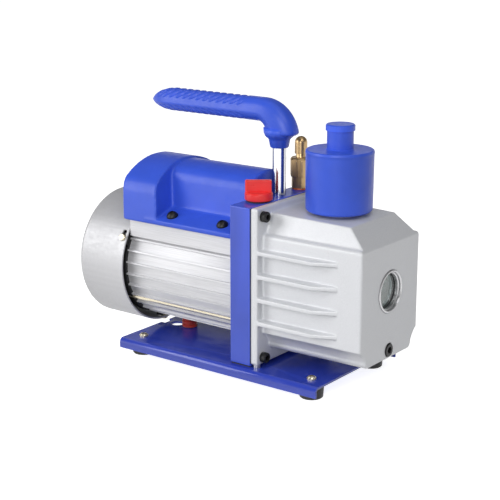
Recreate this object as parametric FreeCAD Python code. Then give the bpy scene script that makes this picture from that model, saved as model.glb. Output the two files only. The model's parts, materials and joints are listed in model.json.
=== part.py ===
import FreeCAD, Part
import math
import os

# Single-stage rotary-vane vacuum pump for refrigeration work. Millimetres. +X points from the fan to the
# oil tank, +Z is up, and the origin is on the floor under the middle of the whole pump.

V = FreeCAD.Vector
X = V(1, 0, 0)
Y = V(0, 1, 0)
Z = V(0, 0, 1)

# ---- driving dimensions ----
AXIS_Z = 76.2            # height of the motor and pump shaft
FIT = 0.05               # radial clearance of a shaft or shank in its hole

BASE_X0, BASE_X1 = -93.8, 114.5
BASE_HALF_Y = 62.0
BASE_TOP = 14.9
LIP_BOTTOM = 6.1
SHEET = 2.0
FOOT_X = (-80.0, 99.5)
FOOT_Y = 45.5
FOOT_R = 10.5
VENT_HOLE_X, VENT_HOLE_R = -79.0, 5.7
BUMPER_X, BUMPER_R = -64.6, 7.0

BRACKET_X0 = 23.5
BRACKET_T = 20.6
BRACKET_X1 = BRACKET_X0 + BRACKET_T
BRACKET_HALF_Y = 54.4
BRACKET_Z0, BRACKET_Z1 = 15.9, 149.8
BRACKET_MID = 33.8
BRACKET_BOLT_Y = (-34.0, -14.0, 14.0, 34.0)

FRAME_X0 = -94.0
FRAME_R = 49.0           # outside of the frame's skin, between the fins
FRAME_BORE = 42.0
FIN_R = 51.0
FIN_T = 1.5
FIN_COUNT = 30
SHIELD_X0 = -102.0
BOLT_CIRCLE_R = 49.1
LOWER_BOLT_DEG = 34.0    # through-bolts, measured below the horizontal
UPPER_BOLT_DEG = 48.0    # and above it
THROUGH_R = 2.4

COWL_X0, COWL_X1 = -144.5, -92.6
COWL_R = 58.0
COWL_T = 1.4
COWL_EDGE_R = 4.6
COWL_SCREW_X = -96.7
COWL_SCREW_DEG = (28.0, 148.0, 268.0)
COWL_SLOT_DEG = 5       # length of a screw slot round the rim
FAN_X0, FAN_X1 = -131.0, -113.0
FAN_R = 52.0
FAN_BLADES = 8

SHAFT_R = 6.0
BEARING_R = 16.0
BEARING_W = 10.0
STATOR_X0, STATOR_X1 = -62.0, -2.0
STATOR_BORE = 28.0
AIR_GAP = 0.4
STATOR_SLOTS = 24

COVER_X0, COVER_X1 = -100.0, 22.3
COVER_STEP_X = -59.0     # foot of the sloping front of the full-width rear block
COVER_STEP_LEAN = 5.5     # how far that front leans back over its height
COVER_CORNER_R = 10.0
BLOCK_TOP, RIDGE_TOP = 170.9, 169.7
COVER_HALF_Y = 51.5
COVER_T = 2.2
COVER_Z0 = 120.2
SADDLE_HALF_Y, SADDLE_TOP = 46.5, 119.8

GASKET_T = 0.6
FLANGE_X0 = BRACKET_X1 + GASKET_T
FLANGE_X1 = 51.3
FLANGE_Z0 = 18.0
TANK_X1 = 143.8
TANK_WALL = 5.0
TANK_FRONT_WALL = 12.0
TANK_SCREW_Y = 46.6
TANK_SCREW_Z = (23.6, 142.6)
RIB_Z = (54.1, 73.8, 93.5, 113.2)
RIB_T = 3.6
RIB_HALF_Y = 54.1
SLOPE_X0, SLOPE_Z0, SLOPE_Z1 = 126.2, 141.6, 125.2
SIGHT_Z, SIGHT_R = 85.5, 17.5
SIGHT_DEPTH = 8.2        # counterbore that takes the seals, glass and ring
DRAIN_Z, DRAIN_R = 36.0, 5.6

FILTER_X = 93.5
FILTER_Z0, FILTER_Z1 = 146.5, 195.3
STUB_R, STUB_TOP = 10.8, 213.8

KNOB_X, KNOB_Y = 34.1, -29.0
KNOB_TURN_DEG = 38.0     # the grip plate's rest angle from +X
POST_Y, POST_R = 0.0, 5.75
INLET_Y = 31.5

MODULE_X0 = BRACKET_X1
PLATE_T = 8.0
CYL_X0 = MODULE_X0 + PLATE_T
CYL_L = 32.0
CYL_X1 = CYL_X0 + CYL_L
PUMP_BORE_R = 24.0
PUMP_ROTOR_R = 20.85
ECCENTRICITY = 3.0
END_GAP = 0.3
VANE_T = 3.0
DUCT_Y, DUCT_Z, DUCT_R = 24.0, 94.0, 3.5   # suction duct between inlet and cylinder
MODULE_HALF_Y = 34.0
MODULE_Z0, MODULE_Z1 = 43.0, 109.0
MODULE_BOLTS = ((-27.0, 50.0), (27.0, 50.0), (-27.0, 102.0), (27.0, 102.0))

OUT = "parts"
os.makedirs(OUT, exist_ok=True)


# ---- helpers ----
def save(name, *shapes):
    """Write one node, as a single solid or as a group of separate solids."""
    solids = []
    for shape in shapes:
        solids.extend(shape.Solids)
    whole = solids[0] if len(solids) == 1 else Part.makeCompound(solids)
    whole.exportStep(os.path.join(OUT, name + ".step"))


def cyl_x(radius, x0, x1, y=0.0, z=AXIS_Z):
    return Part.makeCylinder(radius, x1 - x0, V(x0, y, z), X)


def cyl_z(radius, z0, z1, x, y):
    return Part.makeCylinder(radius, z1 - z0, V(x, y, z0), Z)


def ring_x(outer, inner, x0, x1, y=0.0, z=AXIS_Z):
    return cyl_x(outer, x0, x1, y, z).cut(cyl_x(inner, x0 - 1, x1 + 1, y, z))


def ring_z(outer, inner, z0, z1, x, y):
    return cyl_z(outer, z0, z1, x, y).cut(cyl_z(inner, z0 - 1, z1 + 1, x, y))


def block(x0, x1, y0, y1, z0, z1):
    return Part.makeBox(x1 - x0, y1 - y0, z1 - z0, V(x0, y0, z0))


def prism(points, along):
    """A polygon of vectors pushed along a vector."""
    return Part.Face(Part.makePolygon(points + [points[0]])).extrude(along)


def hexagon_z(flats, z0, z1, x, y, turn=0.0):
    radius = flats / math.sqrt(3.0)
    angles = [math.radians(turn + 60 * k) for k in range(6)]
    corners = [V(x + radius * math.cos(a), y + radius * math.sin(a), z0) for a in angles]
    return prism(corners, V(0, 0, z1 - z0))


def hexagon_x(flats, x0, x1, y, z):
    radius = flats / math.sqrt(3.0)
    angles = [math.radians(60 * k) for k in range(6)]
    corners = [V(x0, y + radius * math.cos(a), z + radius * math.sin(a)) for a in angles]
    return prism(corners, V(x1 - x0, 0, 0))


def turned_z(profile, x, y):
    """A closed (radius, height) outline turned about a vertical axis."""
    points = [V(x + r, y, z) for r, z in profile]
    return Part.Face(Part.makePolygon(points + [points[0]])).revolve(V(x, y, 0), Z, 360)


def turned_x(profile, y=0.0, z=AXIS_Z):
    """A closed (x, radius) outline turned about a line along X."""
    points = [V(px, y, z + r) for px, r in profile]
    return Part.Face(Part.makePolygon(points + [points[0]])).revolve(V(0, y, z), X, 360)


def polar(radius, degrees, x=0.0):
    """A point on a circle round the shaft, with the angle measured up from -Y."""
    a = math.radians(degrees)
    return V(x, -radius * math.cos(a), AXIS_Z + radius * math.sin(a))


def about_shaft(shape, degrees):
    turned = shape.copy()
    turned.rotate(V(0, 0, AXIS_Z), X, degrees)
    return turned


def fused(shapes):
    return shapes[0].multiFuse(shapes[1:]).removeSplitter() if len(shapes) > 1 else shapes[0]


def round_edges(shape, radius, wanted):
    """Fillet the edges whose middle point passes the test."""
    edges = []
    for edge in shape.Edges:
        p = edge.valueAt((edge.FirstParameter + edge.LastParameter) / 2)
        if wanted(p, edge):
            edges.append(edge)
    return shape.makeFillet(radius, edges)


def both_sides(shape):
    return [shape, shape.mirror(V(0, 0, 0), Y)]


def socket_screw_x(head_r, head_h, shank_r, shank_l, x, y, z):
    """A socket-head cap screw that enters along -X, with its head's underside at x."""
    head = turned_x([(x, 0), (x, head_r), (x + head_h - 0.6, head_r), (x + head_h, head_r - 0.6),
                     (x + head_h, 0)], y, z)
    key = hexagon_x(head_r * 0.95, x + head_h * 0.35, x + head_h + 1, y, z)
    return head.cut(key).fuse(cyl_x(shank_r, x - shank_l, x + 0.1, y, z)).removeSplitter()


# ---- base ----
def base_plate():
    outer = block(BASE_X0, BASE_X1, -BASE_HALF_Y, BASE_HALF_Y, LIP_BOTTOM, BASE_TOP)
    outer = round_edges(outer, 4.0, lambda p, e: p.z > BASE_TOP - 0.1 and abs(p.y) > BASE_HALF_Y - 0.1)
    inner = block(BASE_X0 - 1, BASE_X1 + 1, SHEET - BASE_HALF_Y, BASE_HALF_Y - SHEET, LIP_BOTTOM - 1,
                  BASE_TOP - SHEET)
    inner = round_edges(inner, 2.0, lambda p, e: p.z > BASE_TOP - SHEET - 0.1 and
                        abs(p.y) > BASE_HALF_Y - SHEET - 0.1)
    plate = outer.cut(inner)
    cuts = [cyl_z(VENT_HOLE_R, 0, 20, VENT_HOLE_X, 0), cyl_z(3.1, 0, 20, BUMPER_X, 0)]
    cuts.append(block(BASE_X0 - 1, BASE_X0 + 4.5, -5.5, 5.5, 0, 20))
    for x in FOOT_X:
        cuts += [cyl_z(2.1, 0, 20, x, y) for y in (-FOOT_Y, FOOT_Y)]
    cuts += [cyl_z(3.1, 0, 20, BRACKET_MID, y) for y in BRACKET_BOLT_Y]
    return plate.cut(Part.makeCompound(cuts))


def foot(x, y):
    top = BASE_TOP - SHEET
    body = turned_z([(0, 0), (FOOT_R - 1.6, 0), (FOOT_R - 0.8, 0.8), (FOOT_R, top), (0, top)], x, y)
    return body.cut(cyl_z(2.0 + FIT, -1, 20, x, y)).cut(cyl_z(4.6, -1, 5.8, x, y))


def foot_screw(x, y):
    z = BASE_TOP
    head = turned_z([(0, z), (3.9, z), (3.9, z + 1.2), (3.0, z + 2.3), (1.6, z + 2.7), (0, z + 2.7)], x, y)
    recess = block(x - 2.2, x + 2.2, y - 0.45, y + 0.45, z + 1.4, z + 4)
    recess = recess.fuse(block(x - 0.45, x + 0.45, y - 2.2, y + 2.2, z + 1.4, z + 4))
    return head.cut(recess).fuse(cyl_z(2.0, 2.2, z + 0.1, x, y)).removeSplitter()


def foot_nut(x, y):
    return hexagon_z(7.0, 2.6, 5.8, x, y).cut(cyl_z(2.0 + FIT, 0, 8, x, y))


def rear_bumper():
    """A three-ribbed rubber buffer on a stem that snaps through the plate."""
    top = AXIS_Z - FIN_R - 0.1
    pitch = (top - BASE_TOP) / 3
    profile = [(0, BASE_TOP - SHEET - 2.4), (4.6, BASE_TOP - SHEET - 1.6), (4.6, BASE_TOP - SHEET),
               (3.05, BASE_TOP - SHEET), (3.05, BASE_TOP)]
    for k in range(3):
        z = BASE_TOP + k * pitch
        profile += [(BUMPER_R - 1.2, z + 0.05), (BUMPER_R, z + 0.9), (BUMPER_R, z + pitch - 0.9),
                    (BUMPER_R - 1.2, z + pitch - 0.05)]
    profile.append((0, top))
    return turned_z(profile, BUMPER_X, 0)


# ---- bracket ----
def tank_screw_places():
    return [(y, z) for z in TANK_SCREW_Z for y in (-TANK_SCREW_Y, TANK_SCREW_Y)]


def through_bolt_places():
    angles = (-LOWER_BOLT_DEG, 180 + LOWER_BOLT_DEG, UPPER_BOLT_DEG, 180 - UPPER_BOLT_DEG)
    return [(polar(BOLT_CIRCLE_R, a).y, polar(BOLT_CIRCLE_R, a).z) for a in angles]


def pump_bracket():
    body = block(BRACKET_X0, BRACKET_X1, -BRACKET_HALF_Y, BRACKET_HALF_Y, BRACKET_Z0, BRACKET_Z1)
    body = round_edges(body, 1.2, lambda p, e: abs(p.y) > BRACKET_HALF_Y - 0.1 or p.z > BRACKET_Z1 - 0.1)
    seat = BRACKET_X0 + BEARING_W + 0.1
    cuts = [cyl_x(BEARING_R, BRACKET_X0 - 1, seat), cyl_x(13.0, seat - 1, BRACKET_X1 + 1)]
    cuts.append(cyl_z(POST_R + FIT, 126, 160, BRACKET_MID, POST_Y))
    cuts.append(cyl_z(4.05, 118, 160, KNOB_X, KNOB_Y))
    cuts.append(cyl_z(6.05, 136, 160, BRACKET_MID, INLET_Y))
    cuts.append(cyl_z(DUCT_R, DUCT_Z - 2, 140, BRACKET_MID, INLET_Y))
    cuts.append(Part.makeCylinder(DUCT_R, INLET_Y - DUCT_Y + 2, V(BRACKET_MID, DUCT_Y - 2, DUCT_Z), Y))
    cuts.append(cyl_x(DUCT_R, BRACKET_MID - 2, BRACKET_X1 + 1, DUCT_Y, DUCT_Z))
    cuts += [cyl_x(2.55, BRACKET_X0 + 7, BRACKET_X1 + 1, y, z) for y, z in tank_screw_places()]
    for y, z in through_bolt_places():
        cuts.append(cyl_x(THROUGH_R + FIT, BRACKET_X0 - 1, BRACKET_X0 + 6.5, y, z))
    cuts += [cyl_x(3.05, BRACKET_X0 + 8, BRACKET_X1 + 1, y, z) for y, z in MODULE_BOLTS]
    cuts += [cyl_z(3.05, BRACKET_Z0 - 1, BRACKET_Z0 + 14, BRACKET_MID, y) for y in BRACKET_BOLT_Y]
    return body.cut(Part.makeCompound(cuts))


def bracket_pad():
    half_y = BRACKET_HALF_Y - 1
    pad = block(BRACKET_X0 + 1, BRACKET_X1 - 1, -half_y, half_y, BASE_TOP, BRACKET_Z0)
    return pad.cut(Part.makeCompound([cyl_z(3.1, 10, 20, BRACKET_MID, y) for y in BRACKET_BOLT_Y]))


def bracket_bolt(y):
    under = BASE_TOP - SHEET
    return hexagon_z(10.0, under - 4, under, BRACKET_MID, y).fuse(
        cyl_z(3.0, under - 0.1, BRACKET_Z0 + 12, BRACKET_MID, y)).removeSplitter()


def flange_stud(y):
    """A short zinc stud that props the flange's lower corner off the base."""
    return cyl_z(3.0, BASE_TOP, FLANGE_Z0, 48.0, y)


# ---- motor ----
def motor_frame():
    """The extruded frame: a round skin with thin fins, and a saddle under the wiring cover."""
    pieces = [cyl_x(FRAME_R, FRAME_X0, BRACKET_X0)]
    step = 360.0 / FIN_COUNT
    for k in range(FIN_COUNT):
        degrees = step * (k + 0.5)
        point = polar(FIN_R, degrees)
        if point.z > SADDLE_TOP - 6:
            continue
        fin = block(FRAME_X0, BRACKET_X0, -FIN_R, -FRAME_R + 2, AXIS_Z - FIN_T / 2, AXIS_Z + FIN_T / 2)
        pieces.append(about_shaft(fin, -degrees))
    pieces.append(block(COWL_X1 + 0.6, BRACKET_X0, -SADDLE_HALF_Y, SADDLE_HALF_Y, 105.0, SADDLE_TOP))
    body = pieces[0].multiFuse(pieces[1:])
    cuts = [cyl_x(FRAME_BORE, FRAME_X0 - 1, BRACKET_X0 + 1)]
    for y, z in through_bolt_places():
        cuts.append(cyl_x(THROUGH_R + 0.9, FRAME_X0 - 1, BRACKET_X0 + 1, y, z))
    for side in (-1, 1):
        groove = block(FRAME_X0 - 1, BRACKET_X0 + 1, -FIN_R - 1, -BOLT_CIRCLE_R, AXIS_Z - 2.9, AXIS_Z + 2.9)
        cuts.append(about_shaft(groove, LOWER_BOLT_DEG if side < 0 else 180 - LOWER_BOLT_DEG))
    cuts.append(block(FRAME_X0 + 22, BRACKET_X0 - 20, -12, 12, 110, 150))
    cuts += [on_ledge(cyl_z(2.05, -13, 3, 0, 0), x, side) for x in COVER_SCREW_X for side in (-1, 1)]
    return body.cut(Part.makeCompound(cuts))


def slot_bar(inner, outer, half_width, overhang, k):
    """A bar along stator slot k, between two radii and past both ends of the stack."""
    bar = block(STATOR_X0 - overhang, STATOR_X1 + overhang, inner, outer, AXIS_Z - half_width,
                AXIS_Z + half_width)
    return about_shaft(bar, 360.0 / STATOR_SLOTS * k)


def stator_core():
    core = ring_x(FRAME_BORE, STATOR_BORE, STATOR_X0, STATOR_X1)
    slots = []
    for k in range(STATOR_SLOTS):
        slots.append(slot_bar(STATOR_BORE + 1.5, STATOR_BORE + 9, 1.7, 1, k))
        slots.append(slot_bar(STATOR_BORE - 1, STATOR_BORE + 2, 0.8, 1, k))
    return core.cut(Part.makeCompound(slots))


def stator_windings():
    """Copper in every slot, joined by a rounded end turn at each end of the stack."""
    pieces = []
    for x0, x1 in ((STATOR_X0 - 16, STATOR_X0 - 1), (STATOR_X1 + 1, STATOR_X1 + 14)):
        end = ring_x(STATOR_BORE + 11, STATOR_BORE + 2.5, x0, x1)
        pieces.append(round_edges(end, 3.0, lambda p, e: len(e.Vertexes) == 1))
    for k in range(STATOR_SLOTS):
        pieces.append(slot_bar(STATOR_BORE + 3, STATOR_BORE + 8.8, 1.5, 2, k))
    return pieces[0].multiFuse(pieces[1:])


def motor_shaft():
    return turned_x([(-132, 0), (-132, 4.4), (-131.4, 5), (-111, 5), (-111, SHAFT_R), (38.4, SHAFT_R),
                     (39, SHAFT_R - 0.6), (39, 0)])


def motor_rotor():
    """The squirrel-cage rotor: laminated core with cast end rings and small balancing lugs."""
    pieces = [ring_x(STATOR_BORE - AIR_GAP, SHAFT_R, STATOR_X0, STATOR_X1)]
    for x0 in (STATOR_X0 - 7, STATOR_X1):
        pieces.append(ring_x(STATOR_BORE - 1.0, 16.0, x0, x0 + 7))
    for k in range(6):
        lug = cyl_x(1.8, STATOR_X0 - 10, STATOR_X0 - 6, 0, AXIS_Z + 22)
        pieces.append(about_shaft(lug, 60.0 * k))
    return pieces[0].multiFuse(pieces[1:])


def bearing_parts(x0):
    """A 12 x 32 x 10 ball bearing: outer race, inner race and balls."""
    x1 = x0 + BEARING_W
    mid = (x0 + x1) / 2
    groove = Part.makeTorus(11.0, 2.85, V(mid, 0, AXIS_Z), X)
    outer = ring_x(BEARING_R, 12.6, x0, x1).cut(groove)
    inner = ring_x(9.4, SHAFT_R, x0, x1).cut(groove)
    balls = []
    for k in range(8):
        centre = polar(11.0, 45.0 * k, mid)
        balls.append(Part.makeSphere(2.8, centre))
    return outer, inner, balls


def rear_endshield():
    disc = cyl_x(FIN_R + 0.3, SHIELD_X0, FRAME_X0)
    hub = cyl_x(22.0, SHIELD_X0 - 6, FRAME_X0)
    lugs = []
    for degrees in COWL_SCREW_DEG:
        lug = block(SHIELD_X0 + 0.5, FRAME_X0 - 0.5, COWL_T + 0.5 - COWL_R, -44.0, AXIS_Z - 5, AXIS_Z + 5)
        lugs.append(about_shaft(lug, -degrees))
    body = disc.multiFuse([hub] + lugs)
    seat = FRAME_X0 - BEARING_W - 0.1
    bolt_holes = [cyl_x(THROUGH_R + FIT, SHIELD_X0 - 1, FRAME_X0 + 1, y, z) for y, z in through_bolt_places()]
    cuts = [cyl_x(BEARING_R, seat, FRAME_X0 + 1), cyl_x(7.0, SHIELD_X0 - 8, FRAME_X0)]
    cuts += bolt_holes
    for degrees in COWL_SCREW_DEG:
        cuts.append(Part.makeCylinder(2.05, 12, polar(46.5, degrees, COWL_SCREW_X),
                                      polar(1, degrees).sub(V(0, 0, AXIS_Z))))
    for k in range(6):
        window = ring_x(38.0, 27.0, SHIELD_X0 - 1, FRAME_X0 + 1).common(
            about_shaft(block(SHIELD_X0 - 1, FRAME_X0 + 1, -40, -20, AXIS_Z - 8, AXIS_Z + 8), 60.0 * k))
        cuts.append(window)
    return body.cut(Part.makeCompound(cuts))


def through_bolt(y, z):
    rod = cyl_x(THROUGH_R, SHIELD_X0 - 0.1, BRACKET_X0 + 6, y, z)
    return rod.fuse(hexagon_x(7.0, SHIELD_X0 - 3, SHIELD_X0, y, z)).removeSplitter()


def cooling_fan():
    hub = ring_x(13.0, 5.0, FAN_X0, FAN_X1)
    disc = ring_x(FAN_R - 6, 5.0, FAN_X1 - 2, FAN_X1)
    pieces = [hub, disc]
    for k in range(FAN_BLADES):
        blade = block(FAN_X0, FAN_X1 - 1, -FAN_R, -11.0, AXIS_Z - 1, AXIS_Z + 1)
        pieces.append(about_shaft(blade, k * 360.0 / FAN_BLADES))
    return pieces[0].multiFuse(pieces[1:])


def fan_cover():
    """A drawn steel cowl: rounded rear edge, ring-shaped air slots and long screw slots round the rim."""
    outer = turned_x([(COWL_X0, 0), (COWL_X0, COWL_R), (COWL_X1, COWL_R), (COWL_X1, 0)])
    outer = round_edges(outer, COWL_EDGE_R, lambda p, e: p.x < COWL_X0 + 0.1 and len(e.Vertexes) == 1)
    inner = cyl_x(COWL_R - COWL_T, COWL_X0 + COWL_T, COWL_X1 + 1)
    inner = round_edges(inner, COWL_EDGE_R - COWL_T,
                        lambda p, e: p.x < COWL_X0 + COWL_T + 0.1 and len(e.Vertexes) == 1)
    body = outer.cut(inner)
    cuts = []
    for radius in (14.0, 21.0, 28.0, 35.0, 42.0):
        cuts.append(ring_x(radius + 2.0, radius - 2.0, COWL_X0 - 1, COWL_X0 + COWL_T + 1))
    spokes = []
    for k in range(3):
        spoke = block(COWL_X0 - 2, COWL_X0 + COWL_T + 2, -48, 48, AXIS_Z - 2, AXIS_Z + 2)
        spokes.append(about_shaft(spoke, 30 + 60.0 * k))
    grille = cuts[0].multiFuse(cuts[1:]).cut(Part.makeCompound(spokes))
    body = body.cut(grille)
    for degrees in COWL_SCREW_DEG:
        hole = Part.makeCylinder(2.3, 8, V(COWL_SCREW_X, -COWL_R - 3, AXIS_Z), Y)
        holes = [about_shaft(hole, -degrees - step) for step in range(COWL_SLOT_DEG + 1)]
        body = body.cut(holes[0].multiFuse(holes[1:]))
    return body


def cowl_screw(degrees):
    centre = V(COWL_SCREW_X, -COWL_R, AXIS_Z)
    head = Part.makeCylinder(3.1, 2.2, centre.add(V(0, -2.2, 0)), Y)
    head = round_edges(head, 0.9, lambda p, e: p.y < -COWL_R - 2.1 and len(e.Vertexes) == 1)
    slot = block(COWL_SCREW_X - 4, COWL_SCREW_X + 4, -COWL_R - 3, -COWL_R - 1.4, AXIS_Z - 0.4, AXIS_Z + 0.4)
    shank = Part.makeCylinder(2.0, 8.5, centre.add(V(0, -0.1, 0)), Y)
    return about_shaft(head.cut(slot).fuse(shank), -degrees)


# ---- wiring cover and what it holds ----
def arched_outline(foot, wall_foot, wall_top, shoulder, crown, top):
    """A section with leaning walls, round shoulders and a shallow arched top, mirrored about the middle.

    Each named point is (half width, height); foot lists the points below the wall.
    """
    def side(sign):
        def p(point):
            return V(0, sign * point[0], point[1])
        points = [p(q) for q in foot + [wall_foot, wall_top]]
        edges = [Part.makeLine(a, b) for a, b in zip(points, points[1:])]
        edges.append(Part.Arc(p(wall_top), p(shoulder), p(crown)).toShape())
        return edges
    near, far = side(-1), side(1)
    edges = near + [Part.Arc(V(0, -crown[0], crown[1]), V(0, 0, top), V(0, crown[0], crown[1])).toShape()]
    edges += list(reversed(far))
    base = (foot + [wall_foot])[0]
    edges.append(Part.makeLine(V(0, base[0], base[1]), V(0, -base[0], base[1])))
    return Part.Face(Part.Wire(edges))


def rear_block_outline(inset):
    """Section of the tall rear block."""
    t = inset
    return arched_outline([], (COVER_HALF_Y - t, COVER_Z0), (48.2 - t, 145.0),
                          (45.8 - 0.9 * t, 151.9 - 0.5 * t), (41.0 - 0.7 * t, 157.3 - 0.8 * t), BLOCK_TOP - t)


def ridge_outline(inset):
    """Section of the narrower ridge between the two screw ledges."""
    t = inset
    ledge = [(COVER_HALF_Y - t, COVER_Z0), (COVER_HALF_Y - t, 124.5 - t)]
    return arched_outline(ledge, (28.5 - t, 132.0 - t), (25.3 - t, 155.0), (22.6 - 0.8 * t, 161.6 - 0.6 * t),
                          (17.0 - 0.4 * t, 166.1 - 0.9 * t), RIDGE_TOP - t)


def placed(face, x):
    moved = face.copy()
    moved.translate(V(x, 0, 0))
    return moved


COVER_SCREW_X = (-47.5, 6.5)
COVER_SCREW_Y = 42.0
COVER_SCREW_Z = 127.65    # height of the ledge under the screws
LEDGE_DEG = math.degrees(math.atan2(7.5, 23.0))
SOCKET_Z = 147.5         # height of the mains inlet and the switch on the rear face
INLET_PLUG_Y, SWITCH_Y = -18.0, 24.0
IEC_HALF_Y, IEC_HALF_Z = 13.7, 10.0
PIN_HALF_Y, PIN_HALF_Z = 1.0, 2.0
ROCKER_TILT = 6.0        # the rocker rests this far to one side
ROCKER_PIN_R, ROCKER_PIN_DX = 1.1, 3.2


def rear_block(inset):
    """The rear block as a solid: arched section, rounded rear corners and a front that leans back."""
    x0, x1 = COVER_X0 + inset, COVER_STEP_X - inset
    form = placed(rear_block_outline(inset), x0).extrude(V(x1 - x0, 0, 0))
    plan = block(x0, x1, inset - 52.0, 52.0 - inset, COVER_Z0 - 1, 180)
    plan = round_edges(plan, COVER_CORNER_R - inset, lambda p, e: p.x < x0 + 0.1 and abs(p.y) > 45)
    foot_z, head_z = 132.0, BLOCK_TOP
    head_x = x1 - COVER_STEP_LEAN
    lean = [V(x1, -60, foot_z), V(head_x, -60, head_z), V(head_x, -60, head_z + 9),
            V(x1 + 9, -60, head_z + 9), V(x1 + 9, -60, foot_z)]
    return form.common(plan).cut(prism(lean, V(0, 120, 0)))


def capacitor_cover():
    """A moulded shell: a tall rear block, then a ridge between two ledges that take the screws."""
    ridge_x0 = COVER_STEP_X - 12
    ridge = placed(ridge_outline(0), ridge_x0).extrude(V(COVER_X1 - ridge_x0, 0, 0))
    outer = rear_block(0).fuse(ridge).removeSplitter()
    ridge_length = COVER_X1 - COVER_T - ridge_x0
    ridge_hollow = placed(ridge_outline(COVER_T), ridge_x0).extrude(V(ridge_length, 0, 0))
    inner = rear_block(COVER_T).fuse(ridge_hollow)
    post = cyl_z(4.0, -14, -0.5, 0, 0)
    above = block(COVER_X0, COVER_X1, -60, 60, SADDLE_TOP, 140)
    posts = [on_ledge(post, x, side).common(above) for x in COVER_SCREW_X for side in (-1, 1)]
    shell = outer.cut(inner).multiFuse(posts)
    cuts = [cyl_x(COWL_R + 0.4, COVER_X0 - 1, COWL_X1 + 0.4)]
    cuts.append(cyl_x(FRAME_R + 0.2, COVER_X0 - 1, COVER_X1 + 1))
    cuts += [on_ledge(cyl_z(2.1, -16, 3, 0, 0), x, side) for x in COVER_SCREW_X for side in (-1, 1)]
    half_w, half_h = IEC_HALF_Y, IEC_HALF_Z
    cuts.append(block(COVER_X0 - 1, COVER_X0 + 4, INLET_PLUG_Y - half_w, INLET_PLUG_Y + half_w,
                      SOCKET_Z - half_h, SOCKET_Z + half_h))
    cuts.append(block(COVER_X0 - 1, COVER_X0 + 4, SWITCH_Y - 9.6, SWITCH_Y + 9.6,
                      SOCKET_Z - 6.4, SOCKET_Z + 6.4))
    return shell.cut(Part.makeCompound(cuts))


def on_ledge(shape, x, side):
    """Stand a shape made along Z square on the sloping screw ledge of one side."""
    placed_shape = shape.copy()
    placed_shape.rotate(V(0, 0, 0), X, -side * LEDGE_DEG)
    placed_shape.translate(V(x, side * COVER_SCREW_Y, COVER_SCREW_Z))
    return placed_shape


def cover_screw(x, side):
    """A black dome-head screw that stands square to the ledge."""
    dome = Part.makeSphere(5.2, V(0, 0, -0.6)).common(cyl_z(5.0, 1.0, 6, 0, 0))
    head = dome.fuse(cyl_z(5.0, 0, 1.05, 0, 0)).cut(cyl_z(1.5, 3.0, 6, 0, 0))
    shank = cyl_z(2.0, -12.0, 0.1, 0, 0)
    return on_ledge(head.fuse(shank).removeSplitter(), x, side)


CAN_R, CAN_Z = 15.0, 143.0


def run_capacitor():
    can = cyl_x(CAN_R, -52.0, 8.0, 0.0, CAN_Z)
    can = round_edges(can, 2.0, lambda p, e: len(e.Vertexes) == 1)
    tabs = [block(8, 15, s - 0.4, s + 0.4, 140, 146) for s in (-5.0, 5.0)]
    return fused([can] + tabs)


def capacitor_clip():
    """A steel saddle strap round the capacitor, screwed to the frame's saddle."""
    strap = ring_x(CAN_R + 1.2, CAN_R + 0.2, -30, -18, 0, CAN_Z).common(block(-31, -17, -17, 17, 136, 170))
    legs = [block(-30, -18, side - 0.5, side + 0.5, SADDLE_TOP, 144) for side in (-15.7, 15.7)]
    toes = [block(-30, -18, -22, -15.2, SADDLE_TOP, 124), block(-30, -18, 15.2, 22, SADDLE_TOP, 124)]
    return fused([strap] + legs + toes).cut(cyl_x(FRAME_R, -40, 0))


def terminal_block():
    body = block(-78, -69, 26, 40, SADDLE_TOP, SADDLE_TOP + 8)
    cuts = [cyl_z(1.6, SADDLE_TOP + 3, SADDLE_TOP + 12, -73.5, y) for y in (29, 33, 37)]
    return body.cut(Part.makeCompound(cuts))


def power_inlet():
    """A snap-in three-pin appliance inlet, recess open to the rear."""
    cz = SOCKET_Z
    rim = block(COVER_X0 - 2.2, COVER_X0 - 0.01, INLET_PLUG_Y - 15.5, INLET_PLUG_Y + 15.5, cz - 12, cz + 12)
    rim = round_edges(rim, 2.5, lambda p, e: abs(e.Length - 2.19) < 0.1)
    body = block(COVER_X0 - 0.5, COVER_X0 + 17, INLET_PLUG_Y - 13.5, INLET_PLUG_Y + 13.5, cz - 9.8,
                 cz + 9.8)
    recess = block(COVER_X0 - 4, COVER_X0 + 14.5, INLET_PLUG_Y - 12.2, INLET_PLUG_Y + 12.2, cz - 8.3,
                   cz + 8.3)
    slots = []
    for y, z in pin_places():
        slots.append(block(COVER_X0 + 10, COVER_X0 + 20, y - PIN_HALF_Y, y + PIN_HALF_Y, z - PIN_HALF_Z,
                           z + PIN_HALF_Z))
    return rim.fuse(body).cut(recess).removeSplitter().cut(Part.makeCompound(slots))


def inlet_pin(y, z):
    pin = block(COVER_X0 + 3.0, COVER_X0 + 22, y - PIN_HALF_Y, y + PIN_HALF_Y, z - PIN_HALF_Z, z + PIN_HALF_Z)
    return round_edges(pin, 0.5, lambda p, e: p.x < COVER_X0 + 3.1)


def pin_places():
    return [(INLET_PLUG_Y + dy, SOCKET_Z + dz) for dy, dz in ((-7.0, -2.0), (7.0, -2.0), (0.0, 2.0))]


def switch_housing():
    cz = SOCKET_Z
    rim = block(COVER_X0 - 1.6, COVER_X0 - 0.01, SWITCH_Y - 10.8, SWITCH_Y + 10.8, cz - 7.6, cz + 7.6)
    rim = round_edges(rim, 1.5, lambda p, e: abs(e.Length - 1.59) < 0.1)
    body = block(COVER_X0 - 0.5, COVER_X0 + 14, SWITCH_Y - 9.4, SWITCH_Y + 9.4, cz - 6.2, cz + 6.2)
    recess = block(COVER_X0 - 4, COVER_X0 + 10.5, SWITCH_Y - 8.0, SWITCH_Y + 8.0, cz - 5.0, cz + 5.0)
    pivot = Part.makeCylinder(ROCKER_PIN_R, 10.2, V(COVER_X0 + ROCKER_PIN_DX, SWITCH_Y, cz - 5.1), Z)
    return rim.fuse(body).cut(recess).fuse(pivot).removeSplitter()


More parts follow.
